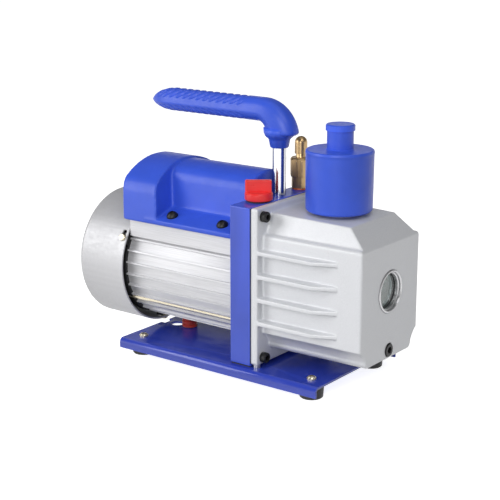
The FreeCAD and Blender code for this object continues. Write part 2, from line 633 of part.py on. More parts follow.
def power_rocker():
    """A rocker that tips about an upright pin, long side across the pump."""
    cz = SOCKET_Z
    px = COVER_X0 + ROCKER_PIN_DX
    outline = [(-4.9, -6.5), (-4.0, 0.0), (-4.9, 6.5), (1.4, 6.0), (2.6, 2.0), (2.6, -2.0), (1.4, -6.0)]
    body = prism([V(px + dx, SWITCH_Y + dy, cz - 4.6) for dx, dy in outline], V(0, 0, 9.2))
    body.rotate(V(px, SWITCH_Y, 0), Z, -ROCKER_TILT)
    return body.cut(Part.makeCylinder(ROCKER_PIN_R + FIT, 12, V(px, SWITCH_Y, cz - 6), Z))


# ---- oil tank ----
TANK_AT_FLANGE = (46.5, 127.8, 35.5, 144.0)   # half width, shoulder height, half width on top, height
TANK_AT_FRONT = (44.0, 127.2, 32.4, 141.4)
TANK_BOTTOM = 28.8
COVE_TOP = 44.5          # where the upright side starts to curve in under the tank


def tank_outline(x, side, shoulder, top_half, top, inset=0.0):
    """Section across the tank: chamfered top, upright side slabs, and a cove under them."""
    s, t, zt = side - inset, top_half - inset, top - inset
    zb, sh = TANK_BOTTOM + inset, shoulder - inset
    right = [
        ((t, zt), (s - 4.4, sh - 0.2), None),
        ((s - 4.4, sh - 0.2), (s - 3.0, sh - 0.2), None),
        ((s - 3.0, sh - 0.2), (s, sh - 3.2), (s - 0.88, sh - 1.08)),
        ((s, sh - 3.2), (s, COVE_TOP), None),
        ((s, COVE_TOP), (s - 8.5, 34.5 + inset * 0.5), (s - 5.4, 40.0 + inset * 0.2)),
        ((s - 8.5, 34.5 + inset * 0.5), (s - 13.0, zb), (s - 9.9, 30.4 + inset * 0.8))]
    edges = []
    for a, b, mid in right:
        if mid is None:
            edges.append(Part.makeLine(V(x, a[0], a[1]), V(x, b[0], b[1])))
        else:
            edges.append(Part.Arc(V(x, a[0], a[1]), V(x, mid[0], mid[1]), V(x, b[0], b[1])).toShape())
    edges.append(Part.makeLine(V(x, s - 13.0, zb), V(x, 13.0 - s, zb)))
    for a, b, mid in reversed(right):
        if mid is None:
            edges.append(Part.makeLine(V(x, -b[0], b[1]), V(x, -a[0], a[1])))
        else:
            edges.append(Part.Arc(V(x, -b[0], b[1]), V(x, -mid[0], mid[1]), V(x, -a[0], a[1])).toShape())
    edges.append(Part.makeLine(V(x, -t, zt), V(x, t, zt)))
    return Part.Wire(edges)


def tank_form(x0, x1, inset):
    """The lofted body between two sections, with the same draft whatever the inset."""
    def section(x):
        f = (x - FLANGE_X1) / (TANK_X1 - FLANGE_X1)
        side, shoulder, top_half, top = [a + (b - a) * f for a, b in zip(TANK_AT_FLANGE, TANK_AT_FRONT)]
        return tank_outline(x, side, shoulder, top_half, top, inset)
    return Part.makeLoft([section(x0), section(x1)], True, True)


def tank_rib(z):
    """A rib as deep as the flange, cut back to the tank's side over its last stretch."""
    knee, tip, low = 103.5, 121.5, z - RIB_T / 2
    outline = [V(FLANGE_X1 - 1, -RIB_HALF_Y, low), V(FLANGE_X1 - 1, -42.0, low), V(tip, -42.0, low),
               V(tip, -45.4, low), V(knee, -RIB_HALF_Y, low)]
    rib = prism(outline, V(0, 0, RIB_T))
    return round_edges(rib, 10.0, lambda p, e: abs(p.x - knee) < 0.1 and abs(e.Length - RIB_T) < 0.1)


def oil_tank():
    body = tank_form(FLANGE_X1 - 1, TANK_X1, 0.0)
    body = round_edges(body, 2.0, lambda p, e: p.x > TANK_X1 - 0.5)
    fall = (SLOPE_Z0 - SLOPE_Z1) / (TANK_X1 - SLOPE_X0)
    slope = [V(SLOPE_X0, -60, SLOPE_Z0), V(SLOPE_X0 + 24, -60, SLOPE_Z0 - 24 * fall),
             V(SLOPE_X0 + 24, -60, 160), V(SLOPE_X0, -60, 160)]
    body = body.cut(prism(slope, V(0, 120, 0)))
    body = round_edges(body, 1.5, lambda p, e: abs(p.y) < 1 and p.z > 100 and p.x > TANK_X1 - 2)
    flange = block(FLANGE_X0, FLANGE_X1, -BRACKET_HALF_Y, BRACKET_HALF_Y, FLANGE_Z0, BRACKET_Z1)
    flange = round_edges(flange, 1.2,
                         lambda p, e: abs(p.y) > BRACKET_HALF_Y - 0.1 or p.z > BRACKET_Z1 - 0.1)
    ribs = []
    for z in RIB_Z:
        ribs += both_sides(tank_rib(z))
    seat = cyl_z(15.0, 138, 144.2, FILTER_X, 0)
    body = body.multiFuse([flange, seat] + ribs)
    cavity = tank_form(FLANGE_X0 - 1, TANK_X1 - TANK_FRONT_WALL, TANK_WALL)
    chamfer = [V(120, -60, 138), V(137, -60, 122), V(150, -60, 122), V(150, -60, 160), V(120, -60, 160)]
    cavity = cavity.cut(prism(chamfer, V(0, 120, 0)))
    cuts = [cavity]
    cuts.append(cyl_x(13.0, TANK_X1 - 16, TANK_X1 + 1, 0, SIGHT_Z))
    cuts.append(cyl_x(SIGHT_R + FIT, TANK_X1 - SIGHT_DEPTH, TANK_X1 + 1, 0, SIGHT_Z))
    cuts.append(cyl_x(4.05, TANK_X1 - 16, TANK_X1 + 1, 0, DRAIN_Z))
    cuts.append(cyl_x(DRAIN_R + 0.2, TANK_X1 - 4.4, TANK_X1 + 1, 0, DRAIN_Z))
    cuts.append(cyl_z(10.35, 130, 150, FILTER_X, 0))
    cuts += [cyl_x(2.55, FLANGE_X0 - 1, FLANGE_X1 + 1, y, z) for y, z in tank_screw_places()]
    return body.cut(Part.makeCompound(cuts))


def tank_gasket():
    sheet = block(BRACKET_X1, FLANGE_X0, 0.4 - BRACKET_HALF_Y, BRACKET_HALF_Y - 0.4, FLANGE_Z0 + 0.4,
                  BRACKET_Z1 - 0.4)
    window = tank_form(BRACKET_X1 - 1, FLANGE_X0 + 1, TANK_WALL)
    holes = [cyl_x(2.6, BRACKET_X1 - 1, FLANGE_X0 + 1, y, z) for y, z in tank_screw_places()]
    return sheet.cut(window).cut(Part.makeCompound(holes))


def sight_glass():
    x = TANK_X1 - SIGHT_DEPTH
    return cyl_x(SIGHT_R - 0.2, x + 1.0, x + 3.0, 0, SIGHT_Z)


def sight_seals():
    x = TANK_X1 - SIGHT_DEPTH
    back = ring_x(SIGHT_R, 13.5, x, x + 1.0, 0, SIGHT_Z)
    front = ring_x(SIGHT_R, 14.6, x + 3.0, x + 3.8, 0, SIGHT_Z)
    return back, front


def sight_ring():
    """The threaded ring that clamps the glass, with a stepped bore."""
    x0, x1 = TANK_X1 - SIGHT_DEPTH + 3.8, TANK_X1 + 0.7
    profile = [(x0, 14.6), (x0, SIGHT_R), (x1 - 0.5, SIGHT_R), (x1, SIGHT_R - 0.5), (x1, 16.2),
               (x1 - 0.8, 15.6), (x1 - 2.2, 15.6), (x1 - 2.8, 14.6)]
    return turned_x(profile, 0, SIGHT_Z)


def drain_plug():
    return socket_screw_x(DRAIN_R, 4.3, 4.0, 8.0, TANK_X1 - 3.6, 0, DRAIN_Z)


def drain_seal():
    x = TANK_X1 - 4.4
    return ring_x(DRAIN_R, 4.1, x, x + 0.8, 0, DRAIN_Z)


# ---- exhaust filter ----
def filter_body():
    """Blue filter can on a threaded neck, with a plain outlet stub on top."""
    z0, z1 = FILTER_Z0, FILTER_Z1
    neck = [(7.5, 136.0), (10.0, 136.0), (10.0, z0 - 1.8), (13.0, z0 - 1.8), (13.0, z0)]
    lip = [(23.6, z0), (24.4, z0 - 0.9), (26.2, z0 - 0.9), (27.2, z0 + 0.4), (27.3, z0 + 2.0)]
    rim = [(27.6, z1 - 4.0), (27.9, z1 - 2.0), (27.4, z1 - 0.5), (26.6, z1)]
    stub = [(STUB_R + 0.9, z1), (STUB_R, z1 + 0.8), (STUB_R, STUB_TOP), (8.6, STUB_TOP), (8.6, z1 - 2.2)]
    inside = [(25.2, z1 - 2.2), (24.8, z0 + 2.2), (7.5, z0 + 2.2)]
    return turned_z(neck + lip + rim + stub + inside, FILTER_X, 0)


def filter_element():
    return ring_z(21.0, 11.0, FILTER_Z0 + 3.0, FILTER_Z1 - 3.0, FILTER_X, 0)


def filter_seal():
    return ring_z(12.6, 10.1, 144.25, FILTER_Z0 - 1.8, FILTER_X, 0)


def exhaust_cap():
    z1 = STUB_TOP + 1.9
    profile = [(0, z1), (10.9, z1), (11.9, z1 - 0.9), (11.9, z1 - 5.0), (STUB_R + 0.1, z1 - 5.0),
               (STUB_R + 0.1, z1 - 1.6), (0, z1 - 1.6)]
    return turned_z(profile, FILTER_X, 0)


# ---- bracket-top fittings ----
def ballast_knob():
    z0 = BRACKET_Z1 + 1.4
    x, y = KNOB_X, KNOB_Y
    rim = [(11.0, z0), (11.6, z0 + 0.7), (11.6, z0 + 5.2), (10.6, z0 + 6.6)]
    disc = turned_z([(0, z0)] + rim + [(0, z0 + 6.6)], x, y)
    plate = block(x - 11.2, x + 10.6, y - 2.8, y + 2.8, z0 + 5, z0 + 16.3)
    plate = round_edges(plate, 1.2, lambda p, e: p.z > z0 + 6)
    plate.rotate(V(x, y, 0), Z, KNOB_TURN_DEG)
    return disc.fuse(plate).removeSplitter()


def ballast_stem():
    return cyl_z(4.0, 119.0, BRACKET_Z1 + 1.4, KNOB_X, KNOB_Y)


def ballast_seal():
    return ring_z(9.6, 4.05 + FIT, BRACKET_Z1, BRACKET_Z1 + 1.1, KNOB_X, KNOB_Y)


def inlet_fitting():
    """The lower brass hexagon with its threaded stem and through bore."""
    x, y, z = BRACKET_MID, INLET_Y, BRACKET_Z1
    body = hexagon_z(15.4, z + 1.4, 161.2, x, y, 10).fuse(cyl_z(6.0, 138, z + 2, x, y))
    body = body.fuse(cyl_z(5.0, 161, 165, x, y))
    return body.cut(cyl_z(3.0, 130, 170, x, y)).removeSplitter()


def inlet_o_ring():
    return Part.makeTorus(7.0, 0.7, V(BRACKET_MID, INLET_Y, BRACKET_Z1 + 0.7), Z)


def inlet_body():
    """The upper hexagon and its tube neck, bored right through."""
    x, y = BRACKET_MID, INLET_Y
    hexagon = hexagon_z(17.6, 161.2, 177.2, x, y, 10)
    crown = turned_z([(0, 160), (9.6, 160), (9.9, 162.4), (9.9, 175.0), (7.8, 177.2), (0, 177.2)], x, y)
    body = hexagon.common(crown).fuse(cyl_z(4.2, 177, 189, x, y))
    return body.cut(cyl_z(5.0 + FIT, 160, 165.2, x, y)).cut(cyl_z(2.6, 160, 191, x, y)).removeSplitter()


def inlet_cap():
    """A domed brass flare cap over the neck."""
    x, y = BRACKET_MID, INLET_Y
    dome = cyl_z(5.4, 180.4, 189.7, x, y).fuse(
        Part.makeSphere(5.4, V(x, y, 189.7)).common(cyl_z(6, 189.7, 197, x, y)))
    return dome.removeSplitter().cut(cyl_z(4.3, 180, 189.3, x, y))


# ---- handle ----
GRIP_HALF_Y = 12.0
GRIP_TOP, GRIP_UNDER = 230.2, 210.6
GRIP_X0 = -102.5
GRIP_BEND_X, GRIP_BEND_R = 18.0, 33.5
GRIP_NOSE_X, GRIP_NOSE_Z = 47.0, 201.2
COLLAR_X0, COLLAR_Z0 = 25.0, 190.1
THROAT_X = 16.0          # where the underside of the bar turns down to the collar


def handle_post():
    half = [(0, 127), (POST_R - 0.5, 127), (POST_R, 127.5), (POST_R, 213.5), (POST_R - 0.5, 214), (0, 214)]
    return turned_z(half, BRACKET_MID, POST_Y)


def handle_grip():
    """The moulded grip: a round-ended bar that turns down into a collar round the post."""
    def p(x, z):
        return V(x, POST_Y - GRIP_HALF_Y, z)

    def arc(a, m, b):
        return Part.Arc(p(*a), p(*m), p(*b)).toShape()

    def line(a, b):
        return Part.makeLine(p(*a), p(*b))

    mid = (GRIP_TOP + GRIP_UNDER) / 2
    end = (GRIP_TOP - GRIP_UNDER) / 2
    bend_z = GRIP_TOP - GRIP_BEND_R

    def on_bend(degrees):
        a = math.radians(degrees)
        return (GRIP_BEND_X + GRIP_BEND_R * math.cos(a), bend_z + GRIP_BEND_R * math.sin(a))

    nose = (GRIP_NOSE_X, GRIP_NOSE_Z)
    heel = (COLLAR_X0, GRIP_NOSE_Z)
    throat = (THROAT_X, GRIP_UNDER)
    outline = Part.Wire([
        arc((GRIP_X0 + end, GRIP_UNDER), (GRIP_X0, mid), (GRIP_X0 + end, GRIP_TOP)),
        line((GRIP_X0 + end, GRIP_TOP), (GRIP_BEND_X, GRIP_TOP)),
        arc((GRIP_BEND_X, GRIP_TOP), on_bend(50), on_bend(12)),
        line(on_bend(12), nose),
        line(nose, heel),
        line(heel, throat),
        line(throat, (GRIP_X0 + end, GRIP_UNDER))])
    bar = Part.Face(outline).extrude(V(0, 2 * GRIP_HALF_Y, 0))
    bar = round_edges(bar, 4.0, lambda q, e: abs(abs(q.y - POST_Y) - GRIP_HALF_Y) < 0.1)
    flare = [(POST_R + 1.6, COLLAR_Z0), (POST_R + 3.2, 197.5), (POST_R + 3.7, 202)]
    collar = turned_z([(0, COLLAR_Z0)] + flare + [(0, 202)], BRACKET_MID, POST_Y)
    body = bar.fuse(collar)
    return body.cut(cyl_z(POST_R, 180, 214, BRACKET_MID, POST_Y)).removeSplitter()


# ---- pump module inside the tank ----
def module_block(x0, x1):
    half_y = MODULE_HALF_Y
    body = block(x0, x1, -half_y, half_y, MODULE_Z0, MODULE_Z1)
    body = round_edges(body, 8.0,
                       lambda p, e: abs(abs(p.y) - half_y) < 0.1 and abs(e.Length - (x1 - x0)) < 0.1)
    return body.cut(Part.makeCompound([cyl_x(3.05, x0 - 1, x1 + 1, y, z) for y, z in MODULE_BOLTS]))


def pump_rear_plate():
    cuts = [cyl_x(SHAFT_R + FIT, MODULE_X0 - 1, CYL_X0 + 1), cyl_x(11.0, MODULE_X0 - 1, MODULE_X0 + 5)]
    cuts.append(cyl_x(DUCT_R, MODULE_X0 - 1, CYL_X0 + 1, DUCT_Y, DUCT_Z))
    return module_block(MODULE_X0, CYL_X0).cut(Part.makeCompound(cuts))


def pump_cylinder():
    bore_z = AXIS_Z - ECCENTRICITY
    cuts = [cyl_x(PUMP_BORE_R, CYL_X0 - 1, CYL_X1 + 1, 0, bore_z)]
    cuts.append(cyl_x(DUCT_R, CYL_X0 - 1, CYL_X0 + 12, DUCT_Y, DUCT_Z))
    aim = V(0, -DUCT_Y, bore_z - DUCT_Z)
    cuts.append(Part.makeCylinder(2.8, 16, V(CYL_X0 + 8, DUCT_Y, DUCT_Z), aim))
    for k in range(3):
        cuts.append(cyl_z(2.2, 88, 112, CYL_X0 + 8 + 8 * k, -12))
    return module_block(CYL_X0, CYL_X1).cut(Part.makeCompound(cuts))


def pump_front_plate():
    journal_hole = cyl_x(SHAFT_R + FIT, CYL_X1 - 1, CYL_X1 + PLATE_T + 1)
    return module_block(CYL_X1, CYL_X1 + PLATE_T).cut(journal_hole)


def pump_rotor():
    """The slotted rotor with a journal at each end."""
    core = cyl_x(PUMP_ROTOR_R, CYL_X0 + END_GAP, CYL_X1 - END_GAP)
    journals = cyl_x(SHAFT_R, 39.4, CYL_X1 + PLATE_T + 1)
    body = core.fuse(journals)
    slot = block(CYL_X0, CYL_X1, -30, -7.2, AXIS_Z - VANE_T / 2 - FIT, AXIS_Z + VANE_T / 2 + FIT)
    return body.cut(slot).cut(about_shaft(slot, 180)).removeSplitter()


def vane():
    gap = END_GAP + 0.2
    return block(CYL_X0 + gap, CYL_X1 - gap, -PUMP_ROTOR_R + 0.3, -11.0, AXIS_Z - VANE_T / 2,
                 AXIS_Z + VANE_T / 2)


def vane_spring(x):
    """A short compression spring between a vane and the bottom of its slot."""
    helix = Part.makeHelix(0.9, 2.9, 1.0)
    circle = Part.Wire([Part.makeCircle(0.22, V(1.0, 0, 0), V(0, 1, 0))])
    coil = Part.Wire(helix.Edges).makePipeShell([circle], True, True)
    coil.rotate(V(0, 0, 0), X, 90)
    coil.translate(V(x, -7.7, AXIS_Z))
    return coil


def shaft_seal():
    return ring_x(11.0, SHAFT_R + FIT, MODULE_X0 + 0.3, MODULE_X0 + 5)


def coupling():
    """A plain sleeve, keyed to both shaft ends inside the bracket."""
    return ring_x(10.5, SHAFT_R, 34.4, 43.6)


def module_bolt(y, z):
    return socket_screw_x(5.0, 6.0, 3.0, 58.0, CYL_X1 + PLATE_T, y, z)


def reed_parts():
    z = MODULE_Z1
    x0 = CYL_X0 + 3
    reed = block(x0, x0 + 26, -16, -8, z, z + 0.3)
    stop = block(x0, x0 + 26, -16, -8, z + 0.3, z + 2.3)
    stop = stop.cut(block(x0 + 5, x0 + 21, -17, -7, z + 0.2, z + 1.3))
    screws = []
    for x in (x0 + 2.5, x0 + 23.5):
        screws.append(cyl_z(2.2, z + 2.3, z + 4.3, x, -12))
    return reed, stop, screws


# ---- write every node ----
foot_places = [(x, y) for x in FOOT_X for y in (-FOOT_Y, FOOT_Y)]
save("base_plate", base_plate())
save("rubber_feet", *[foot(x, y) for x, y in foot_places])
save("foot_screws", *[foot_screw(x, y) for x, y in foot_places])
save("foot_nuts", *[foot_nut(x, y) for x, y in foot_places])
save("rear_bumper", rear_bumper())

save("pump_bracket", pump_bracket())
save("bracket_pad", bracket_pad())
save("bracket_bolts", *[bracket_bolt(y) for y in BRACKET_BOLT_Y])
save("flange_studs", *[flange_stud(y) for y in (-50.0, 50.0)])

save("motor_frame", motor_frame())
save("stator_core", stator_core())
save("stator_windings", stator_windings())
save("motor_shaft", motor_shaft())
save("motor_rotor", motor_rotor())
rear_outer, rear_inner, rear_balls = bearing_parts(FRAME_X0 - BEARING_W - 0.05)
front_outer, front_inner, front_balls = bearing_parts(BRACKET_X0 + 0.05)
save("bearing_outer_races", rear_outer, front_outer)
save("bearing_inner_races", rear_inner, front_inner)
save("bearing_balls", *(rear_balls + front_balls))
save("rear_endshield", rear_endshield())
save("through_bolts", *[through_bolt(y, z) for y, z in through_bolt_places()])
save("cooling_fan", cooling_fan())
save("fan_cover", fan_cover())
save("fan_cover_screws", *[cowl_screw(degrees) for degrees in COWL_SCREW_DEG])

save("capacitor_cover", capacitor_cover())
save("cover_screws", *[cover_screw(x, side) for x in COVER_SCREW_X for side in (-1, 1)])
save("run_capacitor", run_capacitor())
save("capacitor_clip", capacitor_clip())
save("terminal_block", terminal_block())
save("power_inlet", power_inlet())
save("power_inlet_pins", *[inlet_pin(y, z) for y, z in pin_places()])
save("switch_housing", switch_housing())
save("power_rocker", power_rocker())

save("oil_tank", oil_tank())
save("tank_gasket", tank_gasket())
save("tank_screws", *[socket_screw_x(4.4, 5.0, 2.5, 18.0, FLANGE_X1, y, z) for y, z in tank_screw_places()])
save("sight_glass", sight_glass())
save("tank_seals", *sight_seals(), drain_seal())
save("sight_glass_ring", sight_ring())
save("drain_plug", drain_plug())
save("exhaust_filter_body", filter_body())
save("filter_element", filter_element())
save("filter_seal", filter_seal())
save("exhaust_cap", exhaust_cap())

save("ballast_knob", ballast_knob().fuse(ballast_stem()).removeSplitter())
save("ballast_seal", ballast_seal())
save("inlet_fitting", inlet_fitting())
save("inlet_o_ring", inlet_o_ring())
save("inlet_body", inlet_body())
save("inlet_cap", inlet_cap())
save("handle_post", handle_post())
save("handle_grip", handle_grip())

reed, reed_stop, reed_screws = reed_parts()
save("pump_end_plates", pump_rear_plate(), pump_front_plate())
save("pump_cylinder", pump_cylinder())
save("pump_rotor", pump_rotor())
save("shaft_coupling", coupling())
save("shaft_seal", shaft_seal())
save("vanes", vane(), about_shaft(vane(), 180))
springs = [vane_spring(x) for x in (CYL_X0 + 9, CYL_X1 - 9)]
save("vane_springs", *(springs + [about_shaft(spring, 180) for spring in springs]))
save("module_bolts", *[module_bolt(y, z) for y, z in MODULE_BOLTS])
save("exhaust_reed", reed)
save("reed_stop", fused([reed_stop] + reed_screws))
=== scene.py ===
import json
import math

import bmesh
import bpy
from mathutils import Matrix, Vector


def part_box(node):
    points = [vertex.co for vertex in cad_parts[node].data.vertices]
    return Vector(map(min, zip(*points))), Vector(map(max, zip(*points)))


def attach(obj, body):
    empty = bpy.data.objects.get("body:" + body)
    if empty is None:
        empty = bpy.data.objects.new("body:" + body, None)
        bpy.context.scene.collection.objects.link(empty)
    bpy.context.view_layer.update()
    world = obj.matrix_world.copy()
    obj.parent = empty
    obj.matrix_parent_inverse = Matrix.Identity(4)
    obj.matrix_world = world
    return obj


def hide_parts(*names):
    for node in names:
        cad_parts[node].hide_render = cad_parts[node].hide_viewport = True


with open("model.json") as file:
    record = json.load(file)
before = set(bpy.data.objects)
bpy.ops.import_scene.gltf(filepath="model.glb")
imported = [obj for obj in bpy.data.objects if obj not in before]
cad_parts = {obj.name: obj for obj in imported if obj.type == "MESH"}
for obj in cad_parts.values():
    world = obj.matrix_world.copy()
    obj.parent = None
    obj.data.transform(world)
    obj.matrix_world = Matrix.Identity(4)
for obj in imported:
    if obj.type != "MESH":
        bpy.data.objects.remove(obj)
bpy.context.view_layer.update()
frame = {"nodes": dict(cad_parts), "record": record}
NODES = frame["nodes"]
MM = 0.001


# ---- studio ----
CAMERA_TARGET = (0.0034, 0.0, 0.0972)
CAMERA_AZIMUTH, CAMERA_ELEVATION = 36.9, 15.0    # degrees; the azimuth turns from -Y towards +X
CAMERA_DISTANCE, CAMERA_LENS = 1.1165, 93.6      # metres from the target, and millimetres
LIGHT_AIM = (0.0, 0.0, 0.10)
WORLD_STRENGTH = 0.18
FLOOR_PROFILE = ((1.5, 0.0), (4.0, 0.0), (7.0, 0.15), (8.0, 0.9), (8.4, 2.2))   # radius, height
FLOOR_TURNS = 64
FLOOR_GLOW = 0.84


def add_camera():
    """A long lens that looks at the knob side and the oil tank's front from a little above."""
    azimuth, elevation = math.radians(CAMERA_AZIMUTH), math.radians(CAMERA_ELEVATION)
    back = Vector((math.sin(azimuth) * math.cos(elevation), -math.cos(azimuth) * math.cos(elevation),
                   math.sin(elevation)))
    data = bpy.data.cameras.new("camera")
    data.lens = CAMERA_LENS
    data.sensor_width = 36.0
    data.clip_end = 50.0
    camera = bpy.data.objects.new("camera", data)
    bpy.context.scene.collection.objects.link(camera)
    camera.location = Vector(CAMERA_TARGET) + back * CAMERA_DISTANCE
    camera.rotation_euler = (-back).to_track_quat("-Z", "Y").to_euler()
    bpy.context.scene.camera = camera


def area_light(name, place, size, power):
    data = bpy.data.lights.new(name, "AREA")
    data.shape = "RECTANGLE"
    data.size, data.size_y = size
    data.energy = power
    light = bpy.data.objects.new(name, data)
    bpy.context.scene.collection.objects.link(light)
    light.location = place
    light.rotation_euler = (Vector(LIGHT_AIM) - Vector(place)).to_track_quat("-Z", "Y").to_euler()


def add_lights():
    area_light("key", (-1.25, -1.35, 0.80), (1.0, 1.3), 18.5)
    area_light("front", (0.65, -1.75, 0.75), (0.9, 0.9), 15.0)
    area_light("tank_side", (0.95, -0.65, 1.45), (0.8, 0.8), 7.5)
    area_light("top", (0.1, 0.1, 1.7), (1.2, 1.2), 2.2)
    world = bpy.data.worlds.new("studio")
    world.use_nodes = True
    world.node_tree.nodes["Background"].inputs["Color"].default_value = (1.0, 1.0, 1.0, 1.0)
    world.node_tree.nodes["Background"].inputs["Strength"].default_value = WORLD_STRENGTH
    bpy.context.scene.world = world
    bpy.context.scene.view_settings.view_transform = "Standard"


def add_floor():
    """A pale sweep that curves up far behind the pump."""
    mesh = bpy.data.meshes.new("floor")
    form = bmesh.new()
    corners = [2 * math.pi * k / FLOOR_TURNS for k in range(FLOOR_TURNS)]
    centre = form.verts.new((0, 0, 0))
    rings = []
    for radius, height in FLOOR_PROFILE:
        points = [(radius * math.cos(a), radius * math.sin(a), height) for a in corners]
        rings.append([form.verts.new(point) for point in points])
    for k in range(FLOOR_TURNS):
        after = (k + 1) % FLOOR_TURNS
        form.faces.new((centre, rings[0][k], rings[0][after]))
        for inner, outer in zip(rings, rings[1:]):
            form.faces.new((inner[k], outer[k], outer[after], inner[after]))
    form.to_mesh(mesh)
    form.free()
    floor = bpy.data.objects.new("floor", mesh)
    bpy.context.scene.collection.objects.link(floor)
    paper = bpy.data.materials.new("paper")
    paper.use_nodes = True
    shader = paper.node_tree.nodes["Principled BSDF"]
    shader.inputs["Base Color"].default_value = (0.86, 0.86, 0.86, 1)
    shader.inputs["Roughness"].default_value = 0.9
    shader.inputs["Emission Color"].default_value = (1, 1, 1, 1)
    shader.inputs["Emission Strength"].default_value = FLOOR_GLOW
    mesh.materials.append(paper)
    floor.visible_diffuse = False      # it glows for the eye, but casts no light up under the pump


# ---- materials ----
class Shade:
    """A node material under construction, on object coordinates in metres."""

    def __init__(self, name):
        self.material = bpy.data.materials.new(name)
        self.material.use_nodes = True
        self.tree = self.material.node_tree
        self.shader = self.tree.nodes["Principled BSDF"]
        self.coords = self.tree.nodes.new("ShaderNodeTexCoord").outputs["Object"]
        self.height = None

    def set(self, **values):
        for name, value in values.items():
            self.shader.inputs[name.replace("_", " ")].default_value = value

    def link(self, source, target):
        self.tree.links.new(source, target)

    def noise(self, scale, stretch=(1, 1, 1), detail=4.0, rough=0.55):
        mapping = self.tree.nodes.new("ShaderNodeMapping")
        mapping.inputs["Scale"].default_value = stretch
        self.link(self.coords, mapping.inputs["Vector"])
        texture = self.tree.nodes.new("ShaderNodeTexNoise")
        texture.inputs["Scale"].default_value = scale
        texture.inputs["Detail"].default_value = detail
        texture.inputs["Roughness"].default_value = rough
        self.link(mapping.outputs["Vector"], texture.inputs["Vector"])
        return texture.outputs["Fac"]

    def cells(self, scale):
        texture = self.tree.nodes.new("ShaderNodeTexVoronoi")
        texture.inputs["Scale"].default_value = scale
        self.link(self.coords, texture.inputs["Vector"])
        return texture.outputs["Distance"]

    def ramp(self, fac, low, high, a=0.3, b=0.7):
        """A colour that runs from low to high as the factor goes from a to b."""
        ramp = self.tree.nodes.new("ShaderNodeValToRGB")
        ramp.color_ramp.elements[0].position = a
        ramp.color_ramp.elements[1].position = b
        ramp.color_ramp.elements[0].color = (*low, 1)
        ramp.color_ramp.elements[1].color = (*high, 1)
        self.link(fac, ramp.inputs["Fac"])
        return ramp.outputs["Color"]

    def spread(self, fac, low, high, a=0.3, b=0.7):
        """A number that runs from low to high as the factor goes from a to b."""
        node = self.tree.nodes.new("ShaderNodeMapRange")
        node.inputs["From Min"].default_value = a
        node.inputs["From Max"].default_value = b
        node.inputs["To Min"].default_value = low
        node.inputs["To Max"].default_value = high
        self.link(fac, node.inputs["Value"])
        return node.outputs["Result"]

    def edges(self):
        """Painted highlight: bright on convex edges, from the mesh's own curvature."""
        geometry = self.tree.nodes.new("ShaderNodeNewGeometry")
        return self.spread(geometry.outputs["Pointiness"], 0.0, 1.0, 0.53, 0.62)

    def blend(self, fac, a, b):
        mix = self.tree.nodes.new("ShaderNodeMix")
        mix.data_type = "RGBA"
        self.link(fac, mix.inputs["Factor"])
        colours = [s for s in mix.inputs if s.type == "RGBA"]
        for socket, colour in zip(colours, (a, b)):
            if hasattr(colour, "node"):
                self.link(colour, socket)
            else:
                socket.default_value = (*colour, 1)
        return [s for s in mix.outputs if s.type == "RGBA"][0]

    def colour(self, source):
        self.link(source, self.shader.inputs["Base Color"])

    def roughness(self, source):
        self.link(source, self.shader.inputs["Roughness"])

    def bump(self, fac, depth, strength):
        node = self.tree.nodes.new("ShaderNodeBump")
        node.inputs["Strength"].default_value = strength
        node.inputs["Distance"].default_value = depth
        self.link(fac, node.inputs["Height"])
        if self.height is not None:
            self.link(self.height, node.inputs["Normal"])
        self.height = node.outputs["Normal"]
        self.link(self.height, self.shader.inputs["Normal"])


def scaled(colour, factor):
    return tuple(min(1.0, c * factor) for c in colour)


def moulded_plastic(name, colour, rough=0.38, grain=1400.0, coat=0.05):
    shade = Shade(name)
    mottle = shade.noise(38.0, detail=3.0)
    base = shade.ramp(mottle, scaled(colour, 0.93), scaled(colour, 1.05))
    # painted highlight: convex edges lightened to 1.35 times the plastic's colour
    shade.colour(shade.blend(shade.edges(), base, scaled(colour, 1.35)))
    shade.roughness(shade.spread(shade.noise(160.0), rough - 0.05, rough + 0.08))
    shade.bump(shade.noise(grain, detail=2.0), 0.00006, 0.5)
    shade.bump(shade.noise(22.0, detail=1.0), 0.0005, 0.25)
    shade.set(Coat_Weight=coat, Coat_Roughness=0.12, Specular_IOR_Level=0.36)
    return shade.material


def enamel(name, colour, rough=0.24):
    """Glossy paint on metal with a slight orange-peel surface, and edges lightened as a painted highlight.
    """
    shade = Shade(name)
    base = shade.ramp(shade.noise(30.0), scaled(colour, 0.92), scaled(colour, 1.06))
    # painted highlight: convex edges lightened to 1.6 times the paint colour
    shade.colour(shade.blend(shade.edges(), base, scaled(colour, 1.6)))
    shade.roughness(shade.spread(shade.noise(90.0), rough - 0.05, rough + 0.10))
    shade.bump(shade.noise(420.0, detail=2.0), 0.00003, 0.4)
    shade.set(Coat_Weight=0.25, Coat_Roughness=0.06, Specular_IOR_Level=0.4)
    return shade.material


def cast_paint(name, colour, metal=0.25, rough=0.42, grain=900.0, depth=0.00022):
    """Paint or bare metal with a fine sand-cast skin and tiny dark pits."""
    shade = Shade(name)
    grit = shade.noise(2600.0, detail=2.0)
    speck = shade.ramp(grit, scaled(colour, 0.92), scaled(colour, 1.04), 0.38, 0.62)
    pits = shade.spread(shade.cells(1500.0), 1.0, 0.0, 0.05, 0.20)
    dotted = shade.blend(pits, speck, scaled(colour, 0.80))
    # painted highlight: convex edges lightened to 1.12 times the colour
    shade.colour(shade.blend(shade.edges(), dotted, scaled(colour, 1.12)))
    shade.roughness(shade.spread(shade.noise(300.0), rough - 0.06, rough + 0.10))
    shade.bump(shade.noise(grain, detail=3.0), depth, 0.55)
    shade.bump(shade.noise(60.0, detail=2.0), 0.0006, 0.15)
    shade.set(Metallic=metal)
    return shade.material


